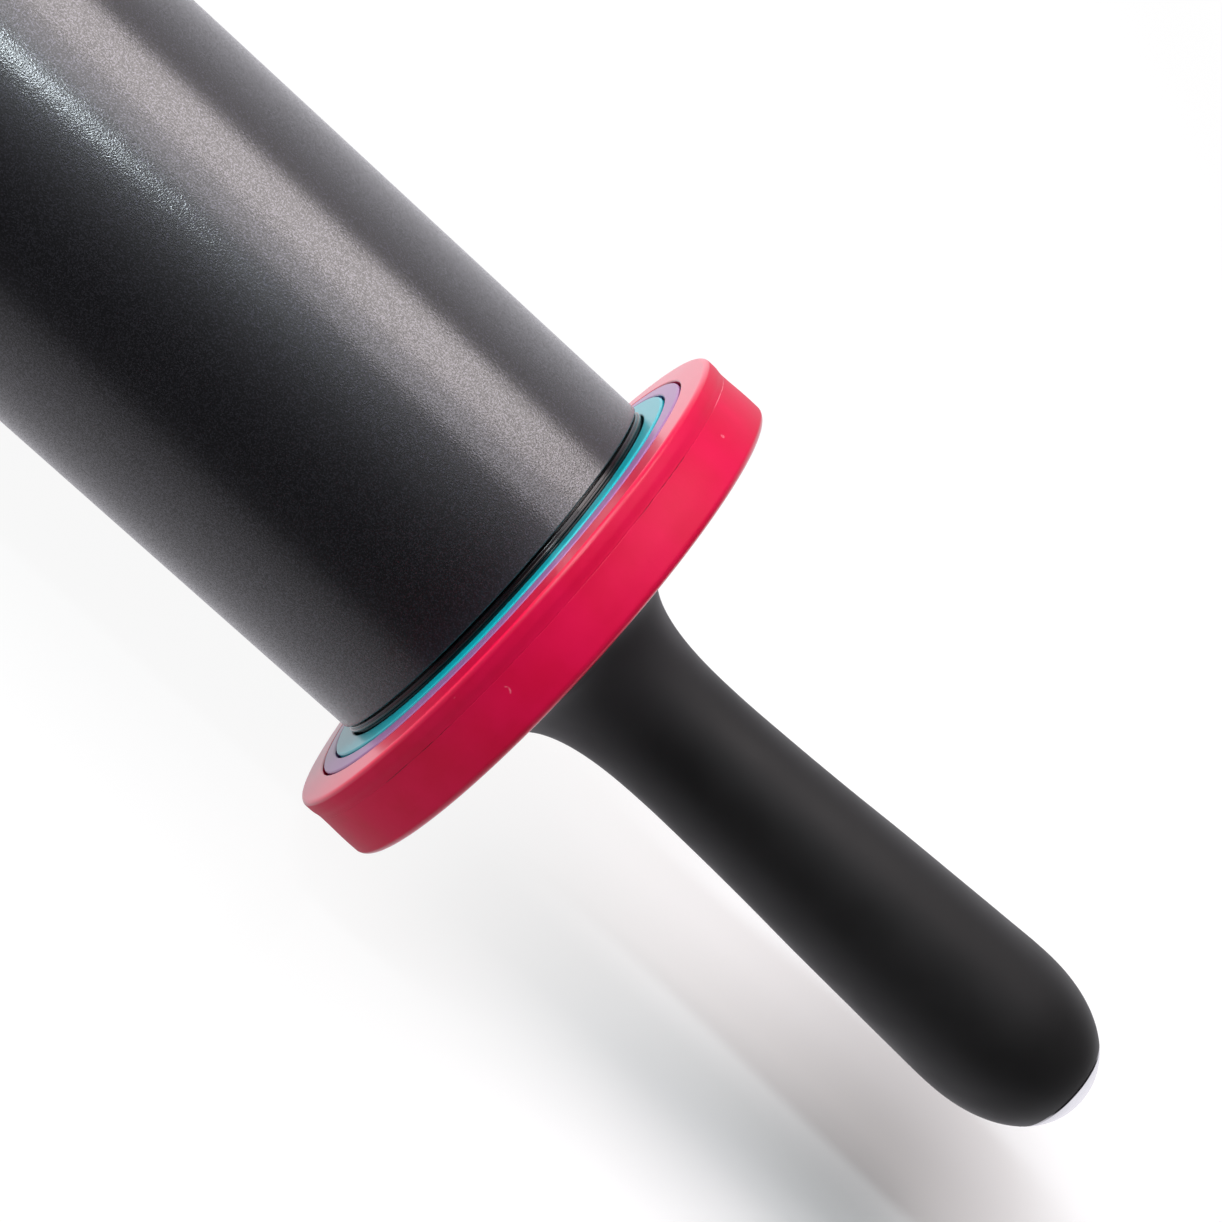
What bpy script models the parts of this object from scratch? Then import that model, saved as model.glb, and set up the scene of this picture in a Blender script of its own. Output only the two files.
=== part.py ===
# Adjustable rolling pin, lying along X on its two thickest rings.
# A coated metal barrel turns on a steel axle that joins the two handles. Three nested rings at
# each end of the barrel hold it off the board, and they pull off outwards over the handle.
# A turned piece is drawn as (radius, height) and turned about Z. Each end of the barrel has an
# empty whose Z points outwards along the pin, so both ends share their meshes and heights.
import math

import bpy
from mathutils import Matrix, Vector

# Barrel, in metres as all sizes here
BARREL_DIAMETER = 0.0508
BARREL_LENGTH = 0.254
BARREL_WALL = 0.0015
BARREL_EDGE_ROUND = 0.0004

# Clearances
SEAT_GAP = 0.0003  # between pieces that seat on each other
SPIN_GAP = 0.00015  # between the axle and the bushing that turns on it
FACE_STEP = 0.0002  # how far the two outer rings' faces stand back from the thin ring's

# Thickness rings, each named by how far it lifts the barrel off the board
THIN_LIFT = 0.003
MIDDLE_LIFT = 0.0055
THICK_LIFT = 0.010
RING_LIP_THICKNESS = 0.0012  # of the inward lip at the handle side, which stops the ring
RING_LIP_REACH = 0.0023
RING_EDGE_ROUND = 0.0004
TREAD_EDGE_ROUND = 0.0012
TREAD_RIM = 0.0032  # width of the thick ring's rims, rounding included
TREAD_WAIST = 0.00025  # how far its tread is drawn in between the rims

# End hub
FLANGE_THICKNESS = 0.0007
FLANGE_DROP = 0.0001  # from the barrel's surface down to the flange's rim
SPIGOT_DROP = 0.00035  # from the barrel's surface down to the rings' seat
SPIGOT_LENGTH = 0.0063
HUB_PLUG_DEPTH = 0.022
HUB_PLUG_WALL = 0.002
HUB_WEB = 0.0023
HUB_BOSS_WALL = 0.0025
HUB_BOSS_DEPTH = 0.014
HUB_EDGE_ROUND = 0.0003

# Axle and what it carries
AXLE_DIAMETER = 0.008
AXLE_END_DIAMETER = 0.005
AXLE_CHAMFER = 0.0005
AXLE_END_PROUD = 0.0017  # of the nut
BUSHING_WALL = 0.00185
BUSHING_LENGTH = 0.0206
BUSHING_FLANGE_DIAMETER = 0.018
BUSHING_FLANGE_THICKNESS = 0.0008
THRUST_WASHER_DIAMETER = 0.017
THRUST_WASHER_THICKNESS = 0.0006
NUT_WASHER_DIAMETER = 0.010
NUT_WASHER_THICKNESS = 0.001
NUT_ACROSS_FLATS = 0.008
NUT_HEIGHT = 0.004

# Handle, its places measured outwards from its inner face
HANDLE_LENGTH = 0.089
COLLAR_DIAMETER = 0.032
COLLAR_THICKNESS = 0.005
COLLAR_EDGE_ROUND = 0.0009
NECK_DIAMETER = 0.01732
NECK_PLACE = 0.0232
SWELL_DIAMETER = 0.0217
ROUNDED_END_LENGTH = 0.01585  # from the fullest place to the tip
GRIP_WALL = 0.0015
CORE_SETBACK = 0.0077  # from the handle's tip to the end of its core
NUT_POCKET_DEPTH = 0.011
CAP_LEDGE = 0.00165  # of the end cap on the core, round the nut pocket
CAP_THICKNESS = 0.005
CAP_SKIRT_LENGTH = 0.0031
CAP_SKIRT_WALL = 0.0012

# How finely the pieces are drawn
ROUND_SIDES = 32
HANDLE_SIDES = 24
HARDWARE_SIDES = 24
NUT_SIDES = 6
EDGE_STEPS = 1
TREAD_EDGE_STEPS = 2
OUTER_STEPS = (3, 4)  # of the handle's rounded end and of its flare
INNER_STEPS = (3, 3)
DOME_STEPS = 4
SHARP_ANGLE = math.radians(30)
MERGE_DISTANCE = 0.00001

# Forms of the handle
FLARE_POWER = 2.6
END_POWER = 2.18
# How much of the growth from neck to fullest place is reached along the way between them
OUTER_SWELL_SHARES = ((0.87, 0.89), (0.70, 0.71), (0.52, 0.51), (0.35, 0.28), (0.17, 0.10))
INNER_SWELL_SHARES = ((0.70, 0.71), (0.35, 0.28))
ROUNDING_LIMIT_SHARE = 0.45  # of the shorter side beside a rounded corner

# Radii that several pieces share
BARREL_RADIUS = BARREL_DIAMETER / 2
SPIGOT_RADIUS = BARREL_RADIUS - SPIGOT_DROP
THIN_RADIUS = BARREL_RADIUS + THIN_LIFT
MIDDLE_RADIUS = BARREL_RADIUS + MIDDLE_LIFT
THICK_RADIUS = BARREL_RADIUS + THICK_LIFT
AXLE_RADIUS = AXLE_DIAMETER / 2
AXLE_END_RADIUS = AXLE_END_DIAMETER / 2
BUSHING_RADIUS = AXLE_RADIUS + SPIN_GAP + BUSHING_WALL
NECK_RADIUS = NECK_DIAMETER / 2
SWELL_RADIUS = SWELL_DIAMETER / 2
NUT_CORNER_RADIUS = NUT_ACROSS_FLATS / 2 / math.cos(math.pi / NUT_SIDES)
POCKET_RADIUS = max(NUT_WASHER_DIAMETER / 2, NUT_CORNER_RADIUS) + SEAT_GAP
CAP_RADIUS = POCKET_RADIUS + CAP_LEDGE
MOUTH_RADIUS = CAP_RADIUS + SEAT_GAP

# Heights above the barrel's end, outwards along the pin
FLANGE_TOP = SEAT_GAP + FLANGE_THICKNESS
SPIGOT_TOP = FLANGE_TOP + SPIGOT_LENGTH
THIN_FACE = FLANGE_TOP + SEAT_GAP
OUTER_FACE = THIN_FACE + FACE_STEP
THIN_TOP = SPIGOT_TOP + SEAT_GAP + RING_LIP_THICKNESS
MIDDLE_TOP = THIN_TOP + SEAT_GAP + RING_LIP_THICKNESS
THICK_TOP = MIDDLE_TOP + SEAT_GAP + RING_LIP_THICKNESS
BUSHING_TOP = SPIGOT_TOP + SEAT_GAP + BUSHING_FLANGE_THICKNESS
THRUST_WASHER_TOP = BUSHING_TOP + SEAT_GAP + THRUST_WASHER_THICKNESS
HANDLE_BASE = THRUST_WASHER_TOP + SEAT_GAP
NECK_HEIGHT = HANDLE_BASE + NECK_PLACE
HANDLE_TIP = HANDLE_BASE + HANDLE_LENGTH
SWELL_HEIGHT = HANDLE_TIP - ROUNDED_END_LENGTH
CORE_TOP = HANDLE_TIP - CORE_SETBACK
POCKET_FLOOR = CORE_TOP - NUT_POCKET_DEPTH
NUT_WASHER_TOP = POCKET_FLOOR + SEAT_GAP + NUT_WASHER_THICKNESS
NUT_BASE = NUT_WASHER_TOP + SEAT_GAP
AXLE_TOP = NUT_BASE + NUT_HEIGHT + AXLE_END_PROUD


def new_collection(name):
    collection = bpy.data.collections.new(name)
    bpy.context.scene.collection.children.link(collection)
    return collection


def new_material(name, color, roughness, metallic=0.0):
    material = bpy.data.materials.new(name)
    material.use_nodes = True
    shader = material.node_tree.nodes["Principled BSDF"]
    shader.inputs["Base Color"].default_value = (*color, 1.0)
    shader.inputs["Roughness"].default_value = roughness
    shader.inputs["Metallic"].default_value = metallic
    return material


def dark_coated_metal():
    return new_material("dark_coated_metal", (0.035, 0.031, 0.034), 0.42, 0.6)


def gloss_black_plastic():
    return new_material("gloss_black_plastic", (0.012, 0.012, 0.013), 0.22)


def teal_plastic():
    return new_material("teal_plastic", (0.018, 0.330, 0.420), 0.38)


def purple_plastic():
    return new_material("purple_plastic", (0.330, 0.140, 0.320), 0.40)


def red_plastic():
    return new_material("red_plastic", (0.680, 0.010, 0.070), 0.38)


def soft_black_rubber():
    return new_material("soft_black_rubber", (0.036, 0.034, 0.037), 0.75)


def grey_plastic():
    return new_material("grey_plastic", (0.110, 0.110, 0.115), 0.55)


def white_acetal():
    return new_material("white_acetal", (0.780, 0.775, 0.740), 0.40)


def bright_plating():
    return new_material("bright_plating", (0.830, 0.830, 0.840), 0.18, 1.0)


def drawn_steel():
    return new_material("drawn_steel", (0.560, 0.570, 0.580), 0.32, 1.0)


def zinc_plate():
    return new_material("zinc_plate", (0.620, 0.640, 0.660), 0.36, 1.0)


def axis_empty(name, along, tilt):
    """An empty on the pin's axis, with its Z along the pin."""
    empty = bpy.data.objects.new(name, None)
    empty.location = (along, 0, THICK_RADIUS)
    empty.rotation_euler.y = tilt
    return empty


def rounded(corners, steps):
    """The closed outline through (radius, height, rounding) corners, each rounding an arc."""
    outline = []
    for index, (radius, height, rounding) in enumerate(corners):
        corner = Vector((radius, height))
        if not rounding:
            outline.append(tuple(corner))
            continue
        to_last = Vector(corners[index - 1][:2]) - corner
        to_next = Vector(corners[(index + 1) % len(corners)][:2]) - corner
        half_angle = to_last.angle(to_next) / 2
        limit = ROUNDING_LIMIT_SHARE * min(to_last.length, to_next.length)
        reach = min(rounding / math.tan(half_angle), limit)
        to_last.normalize()
        to_next.normalize()
        to_centre = (to_last + to_next).normalized() * (reach / math.cos(half_angle))
        first = to_last * reach - to_centre
        last = to_next * reach - to_centre
        for step in range(steps + 1):
            spoke = first.lerp(last, step / steps).normalized() * first.length
            outline.append(tuple(corner + to_centre + spoke))
    return outline


def turned_mesh(name, outline, material, sides=ROUND_SIDES, starts_on_axis=False):
    """A mesh turned about Z. Its flats lie at the outline's radii, and one of them faces X."""
    to_corner = 1 / math.cos(math.pi / sides)
    points = [(radius * to_corner, 0, height) for radius, height in outline]
    edges = [(index, index + 1) for index in range(len(points) - 1)]
    if not starts_on_axis:
        edges.append((len(points) - 1, 0))
    profile = bpy.data.meshes.new(f"{name}_profile")
    profile.from_pydata(points, edges, [])
    turning = bpy.data.objects.new(name, profile)
    bpy.context.scene.collection.objects.link(turning)
    screw = turning.modifiers.new("Turn", "SCREW")
    screw.steps = sides
    screw.render_steps = sides
    screw.use_merge_vertices = True
    screw.merge_threshold = MERGE_DISTANCE
    finished = turning.evaluated_get(bpy.context.evaluated_depsgraph_get())
    mesh = bpy.data.meshes.new_from_object(finished)
    bpy.data.objects.remove(turning)
    bpy.data.meshes.remove(profile)
    mesh.name = name
    mesh.transform(Matrix.Rotation(math.pi / sides, 4, "Z"))
    mesh.shade_smooth()
    mesh.set_sharp_from_angle(angle=SHARP_ANGLE)
    mesh.materials.append(material)
    return mesh


def barrel_tube():
    top = BARREL_LENGTH / 2
    bore = BARREL_RADIUS - BARREL_WALL
    corners = [
        (BARREL_RADIUS, top, BARREL_EDGE_ROUND),
        (BARREL_RADIUS, -top, BARREL_EDGE_ROUND),
        (bore, -top, 0),
        (bore, top, 0),
    ]
    return turned_mesh("barrel_tube", rounded(corners, EDGE_STEPS), dark_coated_metal())


def axle_rod():
    """A rod with a thinner threaded end beyond each shoulder, where the handles are clamped."""
    shoulder = BARREL_LENGTH / 2 + THRUST_WASHER_TOP
    top = BARREL_LENGTH / 2 + AXLE_TOP
    upper = [
        (0, top),
        (AXLE_END_RADIUS - AXLE_CHAMFER, top),
        (AXLE_END_RADIUS, top - AXLE_CHAMFER),
        (AXLE_END_RADIUS, shoulder),
        (AXLE_RADIUS, shoulder),
    ]
    lower = [(radius, -height) for radius, height in reversed(upper)]
    return turned_mesh("axle_rod", upper + lower, drawn_steel(), HARDWARE_SIDES, True)


def end_hub():
    """The barrel's end plug, with a flange, the rings' seat and a boss for the bushing."""
    plug = BARREL_RADIUS - BARREL_WALL - SEAT_GAP
    cavity = plug - HUB_PLUG_WALL
    flange = BARREL_RADIUS - FLANGE_DROP
    bore = BUSHING_RADIUS + SEAT_GAP
    boss = bore + HUB_BOSS_WALL
    web = SPIGOT_TOP - HUB_WEB
    corners = [
        (SPIGOT_RADIUS, SPIGOT_TOP, HUB_EDGE_ROUND),
        (SPIGOT_RADIUS, FLANGE_TOP, 0),
        (flange, FLANGE_TOP, 0),
        (flange, SEAT_GAP, 0),
        (plug, SEAT_GAP, 0),
        (plug, -HUB_PLUG_DEPTH, HUB_EDGE_ROUND),
        (cavity, -HUB_PLUG_DEPTH, 0),
        (cavity, web, 0),
        (boss, web, 0),
        (boss, -HUB_BOSS_DEPTH, 0),
        (bore, -HUB_BOSS_DEPTH, 0),
        (bore, SPIGOT_TOP, 0),
    ]
    return turned_mesh("end_hub", rounded(corners, EDGE_STEPS), gloss_black_plastic())


def bushing():
    flange = BUSHING_FLANGE_DIAMETER / 2
    bore = AXLE_RADIUS + SPIN_GAP
    flange_base = BUSHING_TOP - BUSHING_FLANGE_THICKNESS
    base = flange_base - BUSHING_LENGTH
    outline = [
        (flange, BUSHING_TOP),
        (flange, flange_base),
        (BUSHING_RADIUS, flange_base),
        (BUSHING_RADIUS, base),
        (bore, base),
        (bore, BUSHING_TOP),
    ]
    return turned_mesh("bushing", outline, white_acetal(), HARDWARE_SIDES)


def washer(name, diameter, bore_radius, top, thickness):
    radius = diameter / 2
    outline = [
        (radius, top),
        (radius, top - thickness),
        (bore_radius, top - thickness),
        (bore_radius, top),
    ]
    return turned_mesh(name, outline, zinc_plate(), HARDWARE_SIDES)


def thrust_washer():
    bore = AXLE_RADIUS + SEAT_GAP
    thickness = THRUST_WASHER_THICKNESS
    return washer("thrust_washer", THRUST_WASHER_DIAMETER, bore, THRUST_WASHER_TOP, thickness)


def nut_washer():
    bore = AXLE_END_RADIUS + SEAT_GAP
    return washer("nut_washer", NUT_WASHER_DIAMETER, bore, NUT_WASHER_TOP, NUT_WASHER_THICKNESS)


def axle_nut():
    """A hexagon with a round hole, drawn flat and given the nut's height."""
    curve = bpy.data.curves.new("axle_nut", "CURVE")
    curve.dimensions = "2D"
    curve.fill_mode = "BOTH"
    curve.extrude = NUT_HEIGHT / 2
    bore = AXLE_END_RADIUS + SEAT_GAP
    for sides, radius in ((NUT_SIDES, NUT_ACROSS_FLATS / 2), (HARDWARE_SIDES, bore)):
        spline = curve.splines.new("POLY")
        spline.points.add(sides - 1)
        spline.use_cyclic_u = True
        to_corner = radius / math.cos(math.pi / sides)
        for index, point in enumerate(spline.points):
            angle = math.tau * index / sides
            point.co = (to_corner * math.cos(angle), to_corner * math.sin(angle), 0, 1)
    curve.materials.append(zinc_plate())
    return curve


def rounded_end(inset, first_radius, last_radius, steps):
    """Points down the handle's rounded end, from one radius to another, drawn in by inset."""
    radius = SWELL_RADIUS - inset
    length = ROUNDED_END_LENGTH - inset
    first = math.acos((first_radius / radius) ** (END_POWER / 2))
    last = math.acos((last_radius / radius) ** (END_POWER / 2))
    points = []
    for step in range(steps + 1):
        angle = first * (1 - step / steps) + last * step / steps
        along = math.sin(angle) ** (2 / END_POWER)
        points.append((radius * math.cos(angle) ** (2 / END_POWER), SWELL_HEIGHT + length * along))
    return points


def handle_side(inset, top_radius, steps, swell_shares):
    """The handle's side drawn in by inset, from a radius near its tip down to its collar."""
    end_steps, flare_steps = steps
    neck = NECK_RADIUS - inset
    growth = SWELL_RADIUS - NECK_RADIUS
    spread = COLLAR_DIAMETER / 2 - NECK_RADIUS
    shoulder = HANDLE_BASE + COLLAR_THICKNESS - inset
    side = rounded_end(inset, top_radius, SWELL_RADIUS - inset, end_steps)
    for along, grown in swell_shares:
        side.append((neck + growth * grown, NECK_HEIGHT + (SWELL_HEIGHT - NECK_HEIGHT) * along))
    for step in range(flare_steps, -1, -1):
        angle = math.pi / 2 * step / flare_steps
        along = 1 - math.cos(angle) ** (2 / FLARE_POWER)
        flared = 1 - math.sin(angle) ** (2 / FLARE_POWER)
        side.append((neck + spread * flared, shoulder + (NECK_HEIGHT - shoulder) * along))
    return side


def handle_grip():
    """The soft sleeve over the core, open at its mouth for the end cap."""
    outer = handle_side(0, MOUTH_RADIUS, OUTER_STEPS, OUTER_SWELL_SHARES)
    inner = handle_side(GRIP_WALL, MOUTH_RADIUS, INNER_STEPS, INNER_SWELL_SHARES)
    base = [(outer[-1][0], HANDLE_BASE), (inner[-1][0], HANDLE_BASE)]
    corners = [(*point, 0) for point in outer + base + inner[::-1]]
    shoulder = len(outer) - 1
    corners[shoulder] = (*outer[shoulder], COLLAR_EDGE_ROUND)
    outline = rounded(corners, EDGE_STEPS)
    return turned_mesh("handle_grip", outline, soft_black_rubber(), HANDLE_SIDES)


def handle_core():
    """The hard body inside the grip, with the axle's bore and a pocket for its nut."""
    inset = GRIP_WALL + SEAT_GAP
    bore = AXLE_END_RADIUS + SEAT_GAP
    rise_share = (CORE_TOP - SWELL_HEIGHT) / (ROUNDED_END_LENGTH - inset)
    top_radius = (SWELL_RADIUS - inset) * (1 - rise_share**END_POWER) ** (1 / END_POWER)
    side = handle_side(inset, top_radius, INNER_STEPS, INNER_SWELL_SHARES)
    inside = [
        (side[-1][0], HANDLE_BASE),
        (bore, HANDLE_BASE),
        (bore, POCKET_FLOOR),
        (POCKET_RADIUS, POCKET_FLOOR),
        (POCKET_RADIUS, CORE_TOP),
    ]
    return turned_mesh("handle_core", side + inside, grey_plastic(), HANDLE_SIDES)


def end_cap():
    """A domed cap that carries on the handle's rounded end, with a skirt in the nut pocket."""
    seat = CORE_TOP + SEAT_GAP
    skirt = POCKET_RADIUS - SEAT_GAP
    skirt_base = seat - CAP_SKIRT_LENGTH
    hollow = skirt - CAP_SKIRT_WALL
    roof = HANDLE_TIP - CAP_THICKNESS
    below = [
        (CAP_RADIUS, seat),
        (skirt, seat),
        (skirt, skirt_base),
        (hollow, skirt_base),
        (hollow, roof),
        (0, roof),
    ]
    outline = rounded_end(0, 0, CAP_RADIUS, DOME_STEPS) + below
    return turned_mesh("end_cap", outline, bright_plating(), HANDLE_SIDES, True)


def plain_ring(name, inner_radius, radius, face, top, material):
    """A ring that fits over inner_radius, with a lip at its top that stops it there."""
    bore = inner_radius + SEAT_GAP
    lip = bore - RING_LIP_REACH
    lip_base = top - RING_LIP_THICKNESS
    corners = [
        (radius, top, RING_EDGE_ROUND),
        (radius, face, RING_EDGE_ROUND),
        (bore, face, RING_EDGE_ROUND),
        (bore, lip_base, 0),
        (lip, lip_base, 0),
        (lip, top, 0),
    ]
    return turned_mesh(name, rounded(corners, EDGE_STEPS), material)


def thin_ring():
    return plain_ring(
        "thin_ring", SPIGOT_RADIUS, THIN_RADIUS, THIN_FACE, THIN_TOP, teal_plastic()
    )


def middle_ring():
    return plain_ring(
        "middle_ring", THIN_RADIUS, MIDDLE_RADIUS, OUTER_FACE, MIDDLE_TOP, purple_plastic()
    )


def thick_ring():
    """The outermost ring, with a rim at each side of its slightly drawn-in tread."""
    bore = MIDDLE_RADIUS + SEAT_GAP
    lip = bore - RING_LIP_REACH
    lip_base = THICK_TOP - RING_LIP_THICKNESS
    middle = (OUTER_FACE + THICK_TOP) / 2
    corners = [
        (THICK_RADIUS, THICK_TOP, TREAD_EDGE_ROUND),
        (THICK_RADIUS, THICK_TOP - TREAD_RIM, 0),
        (THICK_RADIUS - TREAD_WAIST, middle, 0),
        (THICK_RADIUS, OUTER_FACE + TREAD_RIM, 0),
        (THICK_RADIUS, OUTER_FACE, TREAD_EDGE_ROUND),
        (bore, OUTER_FACE, 0),
        (bore, lip_base, 0),
        (lip, lip_base, 0),
        (lip, THICK_TOP, 0),
    ]
    return turned_mesh("thick_ring", rounded(corners, TREAD_EDGE_STEPS), red_plastic())


def add_piece(name, data, parent, height=0):
    piece = bpy.data.objects.new(name, data)
    piece.location.z = height
    piece.parent = parent
    parts.objects.link(piece)


for old in list(bpy.data.objects):
    bpy.data.objects.remove(old)

parts = new_collection("adjustable_rolling_pin")
pin_axis = axis_empty("pin_axis", 0, math.pi / 2)
left_end = axis_empty("left_end", -BARREL_LENGTH / 2, -math.pi / 2)
right_end = axis_empty("right_end", BARREL_LENGTH / 2, math.pi / 2)
for empty in (pin_axis, left_end, right_end):
    parts.objects.link(empty)

add_piece("barrel_tube", barrel_tube(), pin_axis)
add_piece("axle_rod", axle_rod(), pin_axis)

turned_pieces = (
    end_hub,
    bushing,
    thrust_washer,
    handle_core,
    nut_washer,
    handle_grip,
    end_cap,
    thin_ring,
    middle_ring,
    thick_ring,
)
for make_mesh in turned_pieces:
    mesh = make_mesh()
    add_piece(f"left_{mesh.name}", mesh, left_end)
    add_piece(f"right_{mesh.name}", mesh, right_end)

nut = axle_nut()
nut_middle = NUT_BASE + NUT_HEIGHT / 2
add_piece("left_axle_nut", nut, left_end, nut_middle)
add_piece("right_axle_nut", nut, right_end, nut_middle)
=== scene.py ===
import math

import bpy
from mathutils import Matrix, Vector


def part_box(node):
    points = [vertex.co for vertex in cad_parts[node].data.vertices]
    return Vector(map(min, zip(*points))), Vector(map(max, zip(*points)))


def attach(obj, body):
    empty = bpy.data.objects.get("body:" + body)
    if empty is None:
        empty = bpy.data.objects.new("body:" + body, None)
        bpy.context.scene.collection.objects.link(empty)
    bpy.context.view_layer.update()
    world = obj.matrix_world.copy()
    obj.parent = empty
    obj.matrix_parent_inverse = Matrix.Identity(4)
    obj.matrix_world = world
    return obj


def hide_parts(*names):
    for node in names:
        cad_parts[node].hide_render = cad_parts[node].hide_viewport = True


# Adjustable rolling pin. Every piece is a smooth turned shape in the place of its CAD node.
# Outlines are (radius, height) in millimetres. Heights run outwards from the barrel's end, and
# on the barrel and the axle from the pin's middle.
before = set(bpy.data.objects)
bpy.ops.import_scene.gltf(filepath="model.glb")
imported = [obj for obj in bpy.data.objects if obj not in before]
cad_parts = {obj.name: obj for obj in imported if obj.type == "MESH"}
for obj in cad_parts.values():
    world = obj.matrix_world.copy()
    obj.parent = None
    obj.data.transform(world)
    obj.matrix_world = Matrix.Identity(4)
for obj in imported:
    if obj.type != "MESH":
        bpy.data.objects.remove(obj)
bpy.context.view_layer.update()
print("frame loaded")

mm = 0.001
tubeLow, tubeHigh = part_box("barrel_tube")
barrelEnd = tubeHigh.x
axisHeight = (tubeLow.z + tubeHigh.z) / 2
sides = {"left": -1, "right": 1}


# Turning shapes
cornerShape = {
    "longestShare": 0.45,  # the most of the shorter side beside a corner that its rounding takes
    "supportShare": 1.15,  # where the support points lie, as a share of the rounding's reach
}


# The closed outline through (radius, height, rounding) corners, with a support point at each
# side of a rounding so that the flats beside it stay flat in the shading.
def roundedOutline(corners, steps=6):
    outline = []
    for index, (radius, height, rounding) in enumerate(corners):
        corner = Vector((radius, height))
        if not rounding:
            outline.append(tuple(corner))
            continue
        toLast = Vector(corners[index - 1][:2]) - corner
        toNext = Vector(corners[(index + 1) % len(corners)][:2]) - corner
        halfAngle = toLast.angle(toNext) / 2
        longest = cornerShape["longestShare"] * min(toLast.length, toNext.length)
        reach = min(rounding / math.tan(halfAngle), longest)
        support = reach * cornerShape["supportShare"]
        toLast.normalize()
        toNext.normalize()
        toCentre = (toLast + toNext).normalized() * (reach / math.cos(halfAngle))
        first = toLast * reach - toCentre
        last = toNext * reach - toCentre
        outline.append(tuple(corner + toLast * support))
        for step in range(steps + 1):
            spoke = first.lerp(last, step / steps)
            spoke = spoke.normalized() * first.length
            outline.append(tuple(corner + toCentre + spoke))
        outline.append(tuple(corner + toNext * support))
    return outline


# Turns an outline about Z. trim(angle, radius, height) may draw a point in, as on a nut. Edges
# of sharp degrees or more stay sharp in the shading.
def turnedMesh(name, outline, turns, trim=None, sharp=32):
    rows, points = [], []
    for radius, height in outline:
        if radius == 0:
            rows.append([len(points)] * turns)
            points.append((0, 0, height * mm))
            continue
        row = []
        for turn in range(turns):
            angle = math.tau * turn / turns
            reach = trim(angle, radius, height) if trim else radius
            row.append(len(points))
            points.append((reach * mm * math.cos(angle), reach * mm * math.sin(angle), height * mm))
        rows.append(row)
    faces = []
    closed = outline[0][0] or outline[-1][0]  # an outline that begins and ends on the axis isn't
    lastRow = len(rows) if closed else len(rows) - 1
    for index in range(lastRow):
        here, there = rows[index], rows[(index + 1) % len(rows)]
        for turn in range(turns):
            after = (turn + 1) % turns
            face = [here[turn], there[turn], there[after], here[after]]
            faces.append([v for place, v in enumerate(face) if v not in face[:place]])
    mesh = bpy.data.meshes.new(name)
    mesh.from_pydata(points, [], faces)
    mesh.shade_smooth()
    mesh.set_sharp_from_angle(angle=math.radians(sharp))
    mesh.update()
    return mesh


# Places a mesh on the pin's axis, its Z outwards, on its body, and hides the CAD nodes it stands in
# for.
def addPiece(name, mesh, material, body, nodes, side=1, along=None):
    piece = bpy.data.objects.new(name, mesh)
    if not mesh.materials:
        mesh.materials.append(material)
    along = side * barrelEnd if along is None else along
    piece.location = (along, 0, axisHeight)
    piece.rotation_euler = (0, side * math.pi / 2, 0)
    bpy.context.scene.collection.objects.link(piece)
    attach(piece, body)
    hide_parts(*nodes)


# Finishes
class Finish:
    def __init__(self, name, **values):
        self.material = bpy.data.materials.new(name)
        self.material.use_nodes = True
        self.tree = self.material.node_tree
        self.shader = self.tree.nodes["Principled BSDF"]
        self.where = self.tree.nodes.new("ShaderNodeTexCoord").outputs["Object"]
        for socket, value in values.items():
            self.shader.inputs[socket.replace("_", " ")].default_value = value

    def add(self, kind, links=(), **settings):
        node = self.tree.nodes.new(kind)
        for key, value in settings.items():
            setattr(node, key, value)
        for socket, source in dict(links).items():
            if isinstance(source, bpy.types.NodeSocket):
                self.tree.links.new(source, node.inputs[socket])
            else:
                node.inputs[socket].default_value = source
        return node

    # Noise whose grain is about size millimetres across, from 0 to 1.
    def noise(self, size, detail=2.0, roughness=0.5, stretch=None):
        where = self.where
        if stretch:
            where = self.add(
                "ShaderNodeVectorMath", {0: where, 1: stretch}, operation="MULTIPLY"
            ).outputs[0]
        links = {"Vector": where, "Scale": 1 / (size * mm), "Detail": detail, "Roughness": roughness}
        return self.add("ShaderNodeTexNoise", links).outputs["Fac"]

    def remap(self, source, low, high, newLow=0.0, newHigh=1.0, kind="SMOOTHSTEP"):
        links = {"Value": source, "From Min": low, "From Max": high}
        links |= {"To Min": newLow, "To Max": newHigh}
        return self.add("ShaderNodeMapRange", links, interpolation_type=kind).outputs["Result"]

    def math(self, operation, a, b=0.0, clamp=False):
        links = {0: a, 1: b}
        return self.add("ShaderNodeMath", links, operation=operation, use_clamp=clamp).outputs[0]

    def blend(self, factor, first, second):
        node = self.tree.nodes.new("ShaderNodeMix")
        node.data_type = "RGBA"
        for socket, source in ((0, factor), (6, first), (7, second)):
            if isinstance(source, bpy.types.NodeSocket):
                self.tree.links.new(source, node.inputs[socket])
            elif socket == 0:
                node.inputs[socket].default_value = source
            else:
                node.inputs[socket].default_value = (*source, 1.0)
        return node.outputs[2]

    def wire(self, socket, source):
        self.tree.links.new(source, self.shader.inputs[socket])

    # Chained bumps, each (height, strength, depth in millimetres).
    def bump(self, *layers, sockets=("Normal",)):
        normal = None
        for height, strength, depth in layers:
            links = {"Height": height, "Strength": strength, "Distance": depth * mm}
            if normal:
                links["Normal"] = normal
            normal = self.add("ShaderNodeBump", links).outputs["Normal"]
        for socket in sockets:
            self.wire(socket, normal)


cloudRange = (0.3, 0.7)  # the middle of a noise, which its remapping spreads out

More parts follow.
